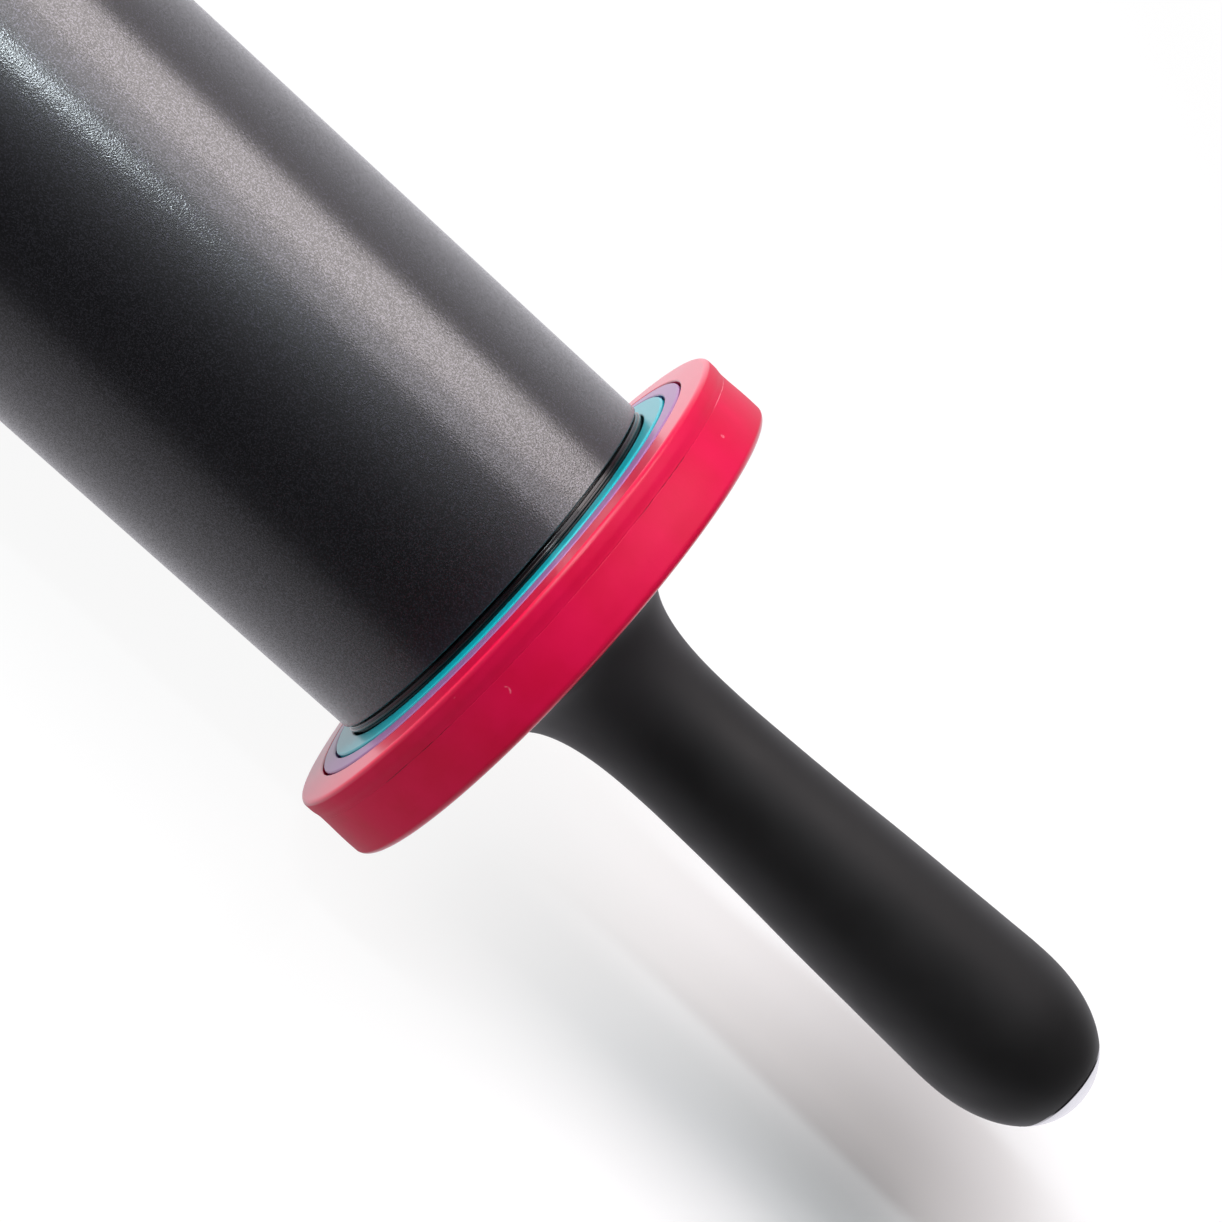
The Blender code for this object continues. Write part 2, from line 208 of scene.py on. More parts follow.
coating = {
    "dark": (0.0022, 0.0020, 0.0042),
    "fleck": (0.090, 0.088, 0.106),  # bright grains that glint in the light
    "fleckSize": 0.20,
    "glint": (0.52, 0.66),  # the stretch of the flecks' noise over which a grain brightens
    "specular": 0.7,
    "coatIOR": 1.7,
    "roughness": 0.48,
    "unevenness": 0.06,
    "coatRoughness": 0.18,
    "grainSize": 0.17,
    "grainDepth": 0.013,
    "coatPatches": (0.38, 0.58),
    "grainCoat": (0.50, 1.0),
    "cloudSize": 9.0,
    "cloudBump": (0.2, 0.02),  # strength, and depth in millimetres
}


def barrelCoating():
    finish = Finish(
        "nonstick_coating",
        Specular_IOR_Level=coating["specular"],
        Coat_IOR=coating["coatIOR"],
        Coat_Roughness=coating["coatRoughness"],
    )
    grain = finish.noise(coating["grainSize"], detail=0.0)
    flecks = finish.noise(coating["fleckSize"], detail=1.0)
    cloud = finish.noise(coating["cloudSize"], detail=3.0)
    glint = finish.remap(flecks, *coating["glint"])
    finish.wire("Base Color", finish.blend(glint, coating["dark"], coating["fleck"]))
    finish.wire("Metallic", glint)
    finish.wire("Coat Weight", finish.remap(flecks, *coating["coatPatches"], *coating["grainCoat"]))
    unevenness = coating["unevenness"]
    uneven = finish.math("MULTIPLY", cloud, unevenness)
    finish.wire("Roughness", finish.math("ADD", uneven, coating["roughness"] - unevenness / 2))
    finish.bump(
        (cloud, *coating["cloudBump"]),
        (grain, 1.0, coating["grainDepth"]),
        sockets=("Normal", "Coat Normal"),
    )
    return finish.material


ringColors = {
    "teal": {"base": (0.003, 0.430, 0.500), "pale": (0.008, 0.480, 0.560)},
    "purple": {"base": (0.410, 0.165, 0.420), "pale": (0.450, 0.190, 0.460)},
    "red": {"base": (0.640, 0.0003, 0.045), "pale": (0.700, 0.0010, 0.060)},
}
faceColors = {  # painted light: what the faces multiply their colour by, as they catch more light, and how glossy they are
    "teal": {"paintedLight": 1.20, "coat": 0.60},
    "purple": {"paintedLight": 1.0, "coat": 0.55},
    "red": {"paintedLight": 1.54, "coat": 1.0},
}
ringGloss = {
    "treadRoughness": 0.47,
    "faceRoughness": 0.34,  # the faces come off a smoother part of the mould
    "coatRoughness": 0.28,
    "specular": 0.19,
    "edgeCoat": 0.9,
    "unevenness": 0.08,
    "faceFrom": (0.45, 0.9),  # how far a surface faces along the pin where it counts as a face
    "cornerFrom": (0.12, 0.5),  # and where it counts as a rounded corner
    "cloudSize": 6.0,
    "cloudBump": (0.3, 0.03),
    "grainSize": 0.40,
    "grainStrength": 0.6,
    "grainDepth": 0.020,
}
# Marks lie at (degrees round the ring, height, how far they reach) in millimetres.
partingLine = {
    "width": 0.08,
    "coreShare": 0.2,  # of the width, at full strength
    "sway": 0.20,
    "swaySize": 3.0,
    "breakSize": 1.1,
    "breaks": (0.35, 0.55, 0.35, 1.0),
    "dark": (0.16, 0.001, 0.010),
    "strength": 0.75,
    "faintest": 0.08,
    "stretches": ((-162, 4.8, 7.5), (-92, 4.8, 8.0), (35, 4.8, 9.0), (150, 4.8, 6.0)),
    "fadeShare": 0.5,  # of a stretch's reach, where it begins to fade
    "paleStretch": (-200, 4.8, 9.0),
    "pale": (0.95, 0.35, 0.42),
    "paleStrength": 0.5,
    "bump": (0.5, -0.03),
}
scuffs = {
    "marks": ((-182, 7.2, 0.18), (-114, 6.4, 0.55), (-107, 3.2, 0.25), (40, 7.0, 0.5)),
    "line": (0.03, 0.14),  # half the width of a scuff's arc, at full strength and where it ends
    "breakSize": 0.7,
    "breaks": (0.48, 0.62),
    "color": (0.95, 0.30, 0.38),
    "strength": 0.45,
    "bump": (0.5, -0.03),
}


# How far each point of the surface lies from a place on the thick ring's tread.
def distanceOnTread(finish, degrees, height):
    angle = math.radians(degrees)
    radius = rings["ThickRing"]["radius"]
    place = (radius * math.cos(angle) * mm, radius * math.sin(angle) * mm, height * mm)
    away = finish.add("ShaderNodeVectorMath", {0: finish.where, 1: place}, operation="DISTANCE")
    return away.outputs["Value"]


# The line that the mould's halves left round the tread. It sways a little, and comes and goes.
def drawPartingLine(finish, surface, layers, partingHeight):
    def nearTo(stretch, strength):
        degrees, height, reach = stretch
        away = distanceOnTread(finish, degrees, height)
        return finish.remap(away, partingLine["fadeShare"] * reach * mm, reach * mm, strength, 0.0)

    height = finish.add("ShaderNodeSeparateXYZ", {"Vector": finish.where}).outputs["Z"]
    wander = finish.math("SUBTRACT", finish.noise(partingLine["swaySize"], detail=3.0), 0.5)
    sway = finish.math("MULTIPLY", wander, partingLine["sway"] * mm)
    off = finish.math("ADD", finish.math("SUBTRACT", height, partingHeight * mm), sway)
    width = partingLine["width"] * mm
    line = finish.remap(finish.math("ABSOLUTE", off), partingLine["coreShare"] * width, width, 1.0, 0.0)
    breaks = finish.remap(finish.noise(partingLine["breakSize"], detail=1.0), *partingLine["breaks"])
    line = finish.math("MULTIPLY", line, breaks)
    shown = partingLine["faintest"]
    for stretch in partingLine["stretches"]:
        shown = finish.math("MAXIMUM", nearTo(stretch, 1.0), shown)
    shade = finish.math("MULTIPLY", finish.math("MULTIPLY", line, shown), partingLine["strength"])
    surface = finish.blend(shade, surface, partingLine["dark"])
    near = nearTo(partingLine["paleStretch"], partingLine["paleStrength"])
    layers.append((line, *partingLine["bump"]))
    return finish.blend(finish.math("MULTIPLY", line, near), surface, partingLine["pale"])


# Small broken arcs where the tread was knocked.
def drawScuffs(finish, surface, layers):
    full, end = scuffs["line"]
    for degrees, height, size in scuffs["marks"]:
        rim = finish.math("SUBTRACT", distanceOnTread(finish, degrees, height), size * mm)
        mark = finish.remap(finish.math("ABSOLUTE", rim), full * mm, end * mm, 1.0, 0.0)
        breaks = finish.remap(finish.noise(scuffs["breakSize"], detail=1.0), *scuffs["breaks"])
        mark = finish.math("MULTIPLY", mark, breaks)
        shade = finish.math("MULTIPLY", mark, scuffs["strength"])
        surface = finish.blend(shade, surface, scuffs["color"])
        layers.append((mark, *scuffs["bump"]))
    return surface


# A ring's faces are glossier than its tread and painted lighter, standing in for the light that falls
# on them, and only the thick ring has marks on its tread.
def ringPlastic(color, partingHeight=None):
    colors, faces = ringColors[color], faceColors[color]
    finish = Finish(
        f"{color}_plastic",
        Specular_IOR_Level=ringGloss["specular"],
        Coat_Roughness=ringGloss["coatRoughness"],
    )
    cloud = finish.noise(ringGloss["cloudSize"], detail=3.0)
    grain = finish.noise(ringGloss["grainSize"])
    surface = finish.blend(finish.remap(cloud, *cloudRange), colors["base"], colors["pale"])
    layers = [(cloud, *ringGloss["cloudBump"])]
    layers.append((grain, ringGloss["grainStrength"], ringGloss["grainDepth"]))
    if partingHeight is not None:
        surface = drawPartingLine(finish, surface, layers, partingHeight)
        surface = drawScuffs(finish, surface, layers)
    facing = finish.tree.nodes.new("ShaderNodeTexCoord").outputs["Normal"]
    upright = finish.add("ShaderNodeSeparateXYZ", {"Vector": facing}).outputs["Z"]
    onFace = finish.remap(finish.math("ABSOLUTE", upright), *ringGloss["faceFrom"])
    onCorner = finish.remap(finish.math("ABSOLUTE", upright), *ringGloss["cornerFrom"])
    rough, smooth = ringGloss["treadRoughness"], ringGloss["faceRoughness"]
    smoothness = finish.remap(onFace, 0.0, 1.0, rough, smooth, "LINEAR")
    uneven = finish.math("MULTIPLY", finish.math("SUBTRACT", cloud, 0.5), ringGloss["unevenness"])
    # painted light: the faces' colour is raised to stand in for the light that falls on them
    paintedLight = [faces["paintedLight"] * channel for channel in colors["base"]]
    finish.wire("Base Color", finish.blend(onFace, surface, paintedLight))
    finish.wire("Roughness", finish.math("ADD", smoothness, uneven))
    edge = finish.math("MULTIPLY", onCorner, ringGloss["edgeCoat"])
    less = finish.math("MULTIPLY", onFace, ringGloss["edgeCoat"] - faces["coat"])
    finish.wire("Coat Weight", finish.math("SUBTRACT", edge, less, clamp=True))
    finish.bump(*layers)
    return finish.material


softTouch = {
    "base": (0.0075, 0.0071, 0.0075),
    "pale": (0.0105, 0.0099, 0.0105),
    "collar": (0.0370, 0.0350, 0.0385),  # painted sheen: the flared collar is lighter grey, as soft-touch looks where it is seen at a grazing angle
    "paintedSheenReach": (14.0, 32.0),
    "cloudRange": (0.25, 0.75),
    "roughness": (0.49, 0.58),
    "sheen": 0.10,
    "sheenRoughness": 0.45,
    "cloudSize": 7.0,
    "cloudBump": (0.2, 0.02),
    "grainSize": 0.16,
    "grainStrength": 0.5,
    "grainDepth": 0.008,
}


def gripCoating():
    finish = Finish(
        "soft_touch_black",
        Sheen_Weight=softTouch["sheen"],
        Sheen_Roughness=softTouch["sheenRoughness"],
    )
    grain = finish.noise(softTouch["grainSize"], roughness=0.6)
    cloud = finish.noise(softTouch["cloudSize"], detail=3.0)
    height = finish.add("ShaderNodeSeparateXYZ", {"Vector": finish.where}).outputs["Z"]
    # painted sheen: the base colour grows lighter towards the collar
    fadeFrom, fadeTo = softTouch["paintedSheenReach"]
    collar = finish.remap(height, fadeFrom * mm, fadeTo * mm, 1.0, 0.0)
    surface = finish.blend(cloud, softTouch["base"], softTouch["pale"])
    finish.wire("Base Color", finish.blend(collar, surface, softTouch["collar"]))
    finish.wire("Roughness", finish.remap(cloud, *softTouch["cloudRange"], *softTouch["roughness"]))
    finish.bump(
        (cloud, *softTouch["cloudBump"]),
        (grain, softTouch["grainStrength"], softTouch["grainDepth"]),
    )
    return finish.material


hubGloss = {
    "dark": (0.004, 0.004, 0.0045),
    "pale": (0.007, 0.007, 0.0075),
    "roughness": (0.14, 0.24),
    "coat": 0.3,
    "coatRoughness": 0.08,
    "cloudSize": 5.0,
    "cloudBump": (0.2, 0.03),
    "grainSize": 0.5,
    "grainBump": (0.2, 0.003),
}


def hubPlastic():
    finish = Finish(
        "gloss_black_moulding", Coat_Weight=hubGloss["coat"], Coat_Roughness=hubGloss["coatRoughness"]
    )
    cloud = finish.noise(hubGloss["cloudSize"])
    grain = finish.noise(hubGloss["grainSize"])
    finish.wire("Base Color", finish.blend(cloud, hubGloss["dark"], hubGloss["pale"]))
    finish.wire("Roughness", finish.remap(cloud, *cloudRange, *hubGloss["roughness"]))
    finish.bump((cloud, *hubGloss["cloudBump"]), (grain, *hubGloss["grainBump"]))
    return finish.material


plating = {
    "dark": (0.80, 0.80, 0.82),
    "pale": (0.86, 0.86, 0.875),
    "roughness": (0.16, 0.24),
    "cloudSize": 4.0,
    "grainSize": 0.12,
    "grainBump": (0.2, 0.002),
}


def brightPlating():
    finish = Finish("satin_bright_plating", Metallic=1.0)
    cloud = finish.noise(plating["cloudSize"])
    grain = finish.noise(plating["grainSize"], detail=1.0)
    finish.wire("Base Color", finish.blend(cloud, plating["dark"], plating["pale"]))
    finish.wire("Roughness", finish.remap(cloud, *cloudRange, *plating["roughness"]))
    finish.bump((grain, *plating["grainBump"]))
    return finish.material


steels = {
    "drawn_steel": {
        "dark": (0.50, 0.505, 0.51),
        "pale": (0.58, 0.585, 0.59),
        "roughness": (0.25, 0.37),
        "markSize": 0.15,
    },
    "zinc_plated_steel": {
        "dark": (0.58, 0.60, 0.62),
        "pale": (0.66, 0.68, 0.70),
        "roughness": (0.29, 0.41),
        "markSize": 0.3,
    },
}
toolMarks = {"stretch": (0.05, 0.05, 1.0), "bump": (0.4, 0.006), "stainSize": 2.5}


# Turned and rolled steel: rings of fine tool marks along the piece.
def workedSteel(name):
    steel = steels[name]
    finish = Finish(name, Metallic=1.0)
    marks = finish.noise(steel["markSize"], stretch=toolMarks["stretch"])
    stain = finish.noise(toolMarks["stainSize"], detail=3.0)
    finish.wire("Base Color", finish.blend(stain, steel["dark"], steel["pale"]))
    finish.wire("Roughness", finish.remap(stain, *cloudRange, *steel["roughness"]))
    finish.bump((marks, *toolMarks["bump"]))
    return finish.material


mouldings = {
    "natural_acetal": {
        "dark": (0.70, 0.69, 0.65),
        "pale": (0.76, 0.755, 0.72),
        "roughness": (0.33, 0.43),
    },
    "grey_moulding": {
        "dark": (0.095, 0.095, 0.10),
        "pale": (0.12, 0.12, 0.125),
        "roughness": (0.47, 0.57),
    },
}
mouldGrain = {"size": 0.25, "bump": (0.4, 0.008), "cloudSize": 3.0}


def mouldedPlastic(name):
    moulding = mouldings[name]
    finish = Finish(name)
    cloud = finish.noise(mouldGrain["cloudSize"], detail=3.0)
    grain = finish.noise(mouldGrain["size"])
    finish.wire("Base Color", finish.blend(cloud, moulding["dark"], moulding["pale"]))
    finish.wire("Roughness", finish.remap(cloud, *cloudRange, *moulding["roughness"]))
    finish.bump((grain, *mouldGrain["bump"]))
    return finish.material


print("finishes ready")


# Barrel
barrel = {"radius": 25.4, "length": 254.0, "wall": 1.5, "edge": 0.15, "boreEdge": 0.2, "turns": 288}


def barrelOutline():
    top = barrel["length"] / 2
    bore = barrel["radius"] - barrel["wall"]
    corners = [
        (barrel["radius"], top, barrel["edge"]),
        (barrel["radius"], -top, barrel["edge"]),
        (bore, -top, barrel["boreEdge"]),
        (bore, top, barrel["boreEdge"]),
    ]
    return roundedOutline(corners)


addPiece(
    "barrelTube",
    turnedMesh("barrelTube", barrelOutline(), barrel["turns"]),
    barrelCoating(),
    "barrel",
    ["barrel_tube"],
    along=0,
)

# End hubs
hub = {
    "spigot": 25.05,
    "spigotTop": 7.3,
    "flange": 25.3,
    "flangeBase": 0.3,
    "flangeTop": 1.0,
    "beadBase": 0.66,
    "groove": 25.1,
    "plug": 23.6,
    "plugBase": -22.0,
    "cavity": 21.6,
    "web": 2.3,
    "boss": 8.8,
    "bossBase": -14.0,
    "bore": 6.3,
    "recess": (11.5, 21.5, 0.5),  # inner and outer radius and depth of the moulded recess
    "draft": 0.2,  # how far the recess's walls lean
    "crisp": 0.1,  # roundings, from the sharpest to the fullest
    "fine": 0.15,
    "small": 0.2,
    "plain": 0.3,
    "soft": 0.4,
    "fillet": 0.8,
    "turns": 192,
}


def hubOutline():
    top = hub["spigotTop"]
    web = top - hub["web"]
    inner, outer, depth = hub["recess"]
    corners = [
        (hub["spigot"], top, hub["plain"]),
        (hub["spigot"], hub["flangeTop"], hub["crisp"]),
        (hub["flange"], hub["flangeTop"], hub["fine"]),
        (hub["flange"], hub["beadBase"], hub["fine"]),
        (hub["groove"], hub["beadBase"], 0),
        (hub["groove"], hub["flangeBase"], hub["crisp"]),
        (hub["plug"], hub["flangeBase"], 0),
        (hub["plug"], hub["plugBase"], hub["soft"]),
        (hub["cavity"], hub["plugBase"], hub["soft"]),
        (hub["cavity"], web, hub["fillet"]),
        (hub["boss"], web, hub["fillet"]),
        (hub["boss"], hub["bossBase"], hub["soft"]),
        (hub["bore"], hub["bossBase"], hub["plain"]),
        (hub["bore"], top, hub["small"]),
        (inner, top, hub["fine"]),
        (inner + hub["draft"], top - depth, hub["small"]),
        (outer - hub["draft"], top - depth, hub["small"]),
        (outer, top, hub["fine"]),
    ]
    return roundedOutline(corners, steps=4)


hubMesh = turnedMesh("endHub", hubOutline(), hub["turns"])
hubFinish = hubPlastic()
for side, way in sides.items():
    addPiece(f"{side}EndHub", hubMesh, hubFinish, "barrel", [f"{side}_end_hub"], way)

# Bushings
bushing = {
    "radius": 6.0,
    "bore": 4.15,
    "flange": 9.0,
    "flangeBase": 7.6,
    "flangeEdge": 0.2,
    "flangeUnder": 0.15,
    "top": 8.4,
    "base": -13.0,
    "leadIn": 0.5,
    "boreEdge": 0.3,
    "turns": 96,
}


def bushingOutline():
    corners = [
        (bushing["flange"], bushing["top"], bushing["flangeEdge"]),
        (bushing["flange"], bushing["flangeBase"], bushing["flangeUnder"]),
        (bushing["radius"], bushing["flangeBase"], 0),
        (bushing["radius"], bushing["base"], bushing["leadIn"]),
        (bushing["bore"], bushing["base"], bushing["boreEdge"]),
        (bushing["bore"], bushing["top"], bushing["boreEdge"]),
    ]
    return roundedOutline(corners, steps=3)


bushingMesh = turnedMesh("bushing", bushingOutline(), bushing["turns"])
acetal = mouldedPlastic("natural_acetal")
for side, way in sides.items():
    addPiece(f"{side}Bushing", bushingMesh, acetal, "barrel", [f"{side}_bushing"], way)
print("barrel, hubs and bushings made")

# Axle
axle = {
    "radius": 4.0,
    "endRadius": 2.5,
    "shoulder": 9.3,
    "top": 87.2,
    "chamfer": 0.5,
    "threadFrom": 76.0,
    "pitch": 0.8,
    "threadDepth": 0.42,
    "rowsPerPitch": 8,
    "toothSlope": 1.25,  # steeper than 1, so that crests and roots have a narrow flat
    "crestFlat": 0.12,
    "relief": 0.2,  # the fillet in the corner of the shoulder
    "edge": 0.3,
    "turns": 48,
}


# Draws the axle's ends in between the crests of a thread.
def threadTrim(angle, radius, height):
    reach = abs(height) - barrel["length"] / 2
    if reach < axle["threadFrom"] or radius < axle["endRadius"] - axle["threadDepth"]:
        return radius
    turn = height / axle["pitch"] - angle / math.tau
    tooth = abs(2 * (turn - math.floor(turn)) - 1)
    drawnIn = min(1.0, max(0.0, axle["toothSlope"] * tooth - axle["crestFlat"]))
    return min(radius, axle["endRadius"] - axle["threadDepth"] * drawnIn)


def axleOutline():
    half = barrel["length"] / 2
    top = half + axle["top"]
    shoulder = half + axle["shoulder"]
    radius, endRadius = axle["radius"], axle["endRadius"]
    chamfer, relief, edge = axle["chamfer"], axle["relief"], axle["edge"]
    upper = [(0, top), (endRadius - chamfer, top), (endRadius, top - chamfer)]
    threadLength = axle["top"] - chamfer - axle["threadFrom"]
    rows = round(threadLength / axle["pitch"] * axle["rowsPerPitch"])
    for row in range(1, rows):
        upper.append((endRadius, top - chamfer - row * axle["pitch"] / axle["rowsPerPitch"]))
    upper += [(endRadius, shoulder + relief), (endRadius + relief, shoulder)]
    upper += [(radius - edge, shoulder), (radius, shoulder - edge)]
    return upper + [(reach, -height) for reach, height in reversed(upper)]


axleMesh = turnedMesh("axleRod", axleOutline(), axle["turns"], threadTrim)
addPiece("axleRod", axleMesh, workedSteel("drawn_steel"), "handles", ["axle_rod"], along=0)

# Washers and nuts
zinc = workedSteel("zinc_plated_steel")
washers = {
    "ThrustWasher": {"radius": 8.5, "bore": 4.3, "base": 8.7, "top": 9.3, "node": "thrust_washer"},
    "NutWasher": {"radius": 5.0, "bore": 2.8, "base": 80.2, "top": 81.2, "node": "nut_washer"},
}
washerEdges = {"upper": 0.15, "lower": 0.08, "turns": 96}


def washerOutline(washer):
    corners = [
        (washer["radius"], washer["top"], washerEdges["upper"]),
        (washer["radius"], washer["base"], washerEdges["lower"]),
        (washer["bore"], washer["base"], washerEdges["lower"]),
        (washer["bore"], washer["top"], washerEdges["upper"]),
    ]
    return roundedOutline(corners, steps=3)


for name, washer in washers.items():
    washerMesh = turnedMesh(name, washerOutline(washer), washerEdges["turns"])
    for side, way in sides.items():
        node = f"{side}_{washer['node']}"
        addPiece(f"{side}{name}", washerMesh, zinc, "handles", [node], way)

nut = {
    "acrossFlats": 8.0,
    "bore": 2.8,
    "boreChamfer": 0.3,
    "base": 81.5,
    "top": 85.5,
    "coneShare": 0.95,  # of half the width across flats, where the cone meets the face
    "chamferSlope": 1.7,
    "rows": (0, 0.06, 0.12, 0.2, 0.3, 0.45, 0.6, 1.0),  # how far from a face each row of points lies
    "turns": 144,
    "sharp": 20,
}


# A hexagon whose corners are turned away in a cone at both faces.
def nutTrim(angle, radius, height):
    half = nut["acrossFlats"] / 2
    if radius < half:
        return radius
    toFlat = (angle + math.pi / 6) % (math.pi / 3) - math.pi / 6
    fromFace = min(nut["top"] - height, height - nut["base"])
    cone = half * nut["coneShare"] + max(0.0, fromFace) * nut["chamferSlope"]
    return min(half / math.cos(toFlat), cone)


def nutOutline():
    half = nut["acrossFlats"] / 2
    bore, chamfer = nut["bore"], nut["boreChamfer"]
    down = [(half, nut["top"] - row) for row in nut["rows"]]
    down += [(half, nut["base"] + row) for row in reversed(nut["rows"])]
    inside = [
        (bore + chamfer, nut["base"]),
        (bore, nut["base"] + chamfer),
        (bore, nut["top"] - chamfer),
        (bore + chamfer, nut["top"]),
    ]
    return down + inside


nutMesh = turnedMesh("axleNut", nutOutline(), nut["turns"], nutTrim, nut["sharp"])
for side, way in sides.items():
    addPiece(f"{side}AxleNut", nutMesh, zinc, "handles", [f"{side}_axle_nut"], way)
print("axle and its fastenings made")

# Handles
handle = {
    "base": 9.6,
    "tip": 98.6,
    "collar": 16.0,
    "shoulder": 14.6,
    "shoulderRound": 0.9,
    "neck": 8.66,
    "neckHeight": 32.8,
    "swell": 10.85,
    "swellHeight": 82.75,
    "endPower": 2.18,
    "flarePower": 2.6,
    "swellShares": ((0.17, 0.10), (0.35, 0.28), (0.52, 0.51), (0.70, 0.71), (0.87, 0.89)),
    "wall": 1.5,
    "mouth": 7.25,
    "baseEdge": 0.3,
    "innerEdge": 0.2,
    "coreInset": 1.8,
    "coreTop": 90.9,
    "pocket": 5.3,
    "pocketFloor": 79.9,
    "coreBore": 2.8,
    "innerSteps": (10, 12, 12),  # points on the end, the swell and the flare of a hidden side
    "coreTurns": 96,
    "turns": 192,
}


# The share of the swell reached along the handle, on a smooth curve through swellShares.
def swellShare(along):
    knots = [(0.0, 0.0), *handle["swellShares"], (1.0, 1.0)]
    between = [(y1 - y0) / (x1 - x0) for (x0, y0), (x1, y1) in zip(knots, knots[2:])]
    slopes = [0.0, *between, 0.0]
    for (x0, y0), (x1, y1), m0, m1 in zip(knots, knots[1:], slopes, slopes[1:]):
        if along <= x1:
            span = x1 - x0
            t = (along - x0) / span
            square, cube = t * t, t * t * t
            start = (2 * cube - 3 * square + 1) * y0 + (cube - 2 * square + t) * span * m0
            return start + (3 * square - 2 * cube) * y1 + (cube - square) * span * m1
    return 1.0


# Points from the handle's rounded end down to its shoulder, drawn in by inset.
def handleSide(inset, topRadius, endSteps=28, swellSteps=40, flareSteps=28):
    radius = handle["swell"] - inset
    length = handle["tip"] - handle["swellHeight"] - inset
    power = 2 / handle["endPower"]
    first = math.acos((topRadius / radius) ** (1 / power))
    points = []
    for step in range(endSteps):
        angle = first * (1 - step / endSteps)
        height = handle["swellHeight"] + length * math.sin(angle) ** power
        points.append((radius * math.cos(angle) ** power, height))
    neck = handle["neck"] - inset
    reach = handle["swellHeight"] - handle["neckHeight"]
    for step in range(swellSteps):
        along = 1 - step / swellSteps
        growth = (handle["swell"] - handle["neck"]) * swellShare(along)
        points.append((neck + growth, handle["neckHeight"] + reach * along))
    shoulder = handle["shoulder"] - inset
    spread = handle["collar"] - handle["neck"]
    power = 2 / handle["flarePower"]
    for step in range(flareSteps, -1, -1):
        angle = math.pi / 2 * step / flareSteps
        along = 1 - max(0.0, math.cos(angle)) ** power
        flared = 1 - math.sin(angle) ** power
        height = shoulder + (handle["neckHeight"] - shoulder) * along
        points.append((neck + spread * flared, height))
    return points


def gripOutline():
    outer = handleSide(0, handle["mouth"])
    inner = handleSide(handle["wall"], handle["mouth"], *handle["innerSteps"])
    shoulder = outer[-1]
    corners = [(*point, 0) for point in outer[:-3]]  # the last few give way to the rounding
    corners.append((*shoulder, handle["shoulderRound"]))
    corners.append((shoulder[0], handle["base"], handle["baseEdge"]))
    corners.append((inner[-1][0], handle["base"], handle["innerEdge"]))
    corners += [(*point, 0) for point in reversed(inner)]
    return roundedOutline(corners, steps=5)


def coreOutline():
    inset, power = handle["coreInset"], handle["endPower"]
    rise = (handle["coreTop"] - handle["swellHeight"]) / (handle["tip"] - handle["swellHeight"] - inset)
    topRadius = (handle["swell"] - inset) * (1 - rise**power) ** (1 / power)
    outer = handleSide(inset, topRadius, *handle["innerSteps"])
    corners = [(*point, 0) for point in outer]
    corners += [
        (outer[-1][0], handle["base"], handle["innerEdge"]),
        (handle["coreBore"], handle["base"], handle["baseEdge"]),
        (handle["coreBore"], handle["pocketFloor"], 0),
        (handle["pocket"], handle["pocketFloor"], handle["baseEdge"]),
        (handle["pocket"], handle["coreTop"], handle["baseEdge"]),
    ]
    return roundedOutline(corners, steps=3)


gripMesh = turnedMesh("handleGrip", gripOutline(), handle["turns"])
coreMesh = turnedMesh("handleCore", coreOutline(), handle["coreTurns"])
gripFinish = gripCoating()
coreFinish = mouldedPlastic("grey_moulding")
for side, way in sides.items():
    addPiece(f"{side}Grip", gripMesh, gripFinish, "handles", [f"{side}_handle_grip"], way)
    addPiece(f"{side}Core", coreMesh, coreFinish, "handles", [f"{side}_handle_core"], way)

# End caps
cap = {
    "radius": 6.95,
    "seat": 91.2,
    "skirt": 5.0,
    "skirtBase": 88.1,
    "hollow": 3.8,
    "roof": 93.6,
    "edge": 0.2,
    "seatEdge": 0.15,
    "leadIn": 0.3,
    "roofFillet": 0.4,
    "domeSteps": 32,
    "turns": 144,
}


# The dome goes on with the curve of the handle's end, in even steps of angle from the pole.
def capOutline():
    power = 2 / handle["endPower"]
    length = handle["tip"] - handle["swellHeight"]
    last = math.acos((cap["radius"] / handle["swell"]) ** (1 / power))
    dome = [(0, handle["tip"])]
    for step in range(1, cap["domeSteps"] + 1):
        angle = math.pi / 2 + (last - math.pi / 2) * step / cap["domeSteps"]
        height = handle["swellHeight"] + length * math.sin(angle) ** power
        dome.append((handle["swell"] * max(0.0, math.cos(angle)) ** power, height))
    corners = [(*point, 0) for point in dome[:-1]]
    corners += [
        (*dome[-1], cap["edge"]),
        (cap["radius"], cap["seat"], cap["seatEdge"]),
        (cap["skirt"], cap["seat"], 0),
        (cap["skirt"], cap["skirtBase"], cap["leadIn"]),
        (cap["hollow"], cap["skirtBase"], cap["edge"]),
        (cap["hollow"], cap["roof"], cap["roofFillet"]),
        (0, cap["roof"], 0),
    ]
    return roundedOutline(corners, steps=4)


capMesh = turnedMesh("endCap", capOutline(), cap["turns"])
capFinish = brightPlating()
for side, way in sides.items():
    addPiece(f"{side}EndCap", capMesh, capFinish, "handles", [f"{side}_end_cap"], way)
print("handles made")

# Thickness rings

# Each face slopes a little, from its height at the bore to its height at the outer edge.
rings = {
    "ThinRing": {
        "node": "thin_ring",
        "color": "teal",
        "radius": 28.4,
        "bore": 25.35,
        "lip": 23.05,
        "face": (1.28, 1.33),
        "top": 8.8,
        "edge": 0.3,
    },
    "MiddleRing": {
        "node": "middle_ring",
        "color": "purple",
        "radius": 30.9,
        "bore": 28.7,
        "lip": 26.4,
        "face": (1.44, 1.66),
        "top": 10.3,
        "edge": 0.3,
    },
    "ThickRing": {
        "node": "thick_ring",
        "color": "red",
        "radius": 35.4,
        "bore": 31.2,
        "lip": 28.9,
        "face": (1.68, 2.00),
        "top": 11.5,
        "edge": 1.3,
        "topEdge": 1.6,
    },
}
ringShape = {
    "lipThickness": 1.2,
    "boreEdge": 0.25,
    "lipCorner": 0.3,
    "lipEdge": 0.25,
    "lipTopEdge": 0.35,
    "turns": 288,
}
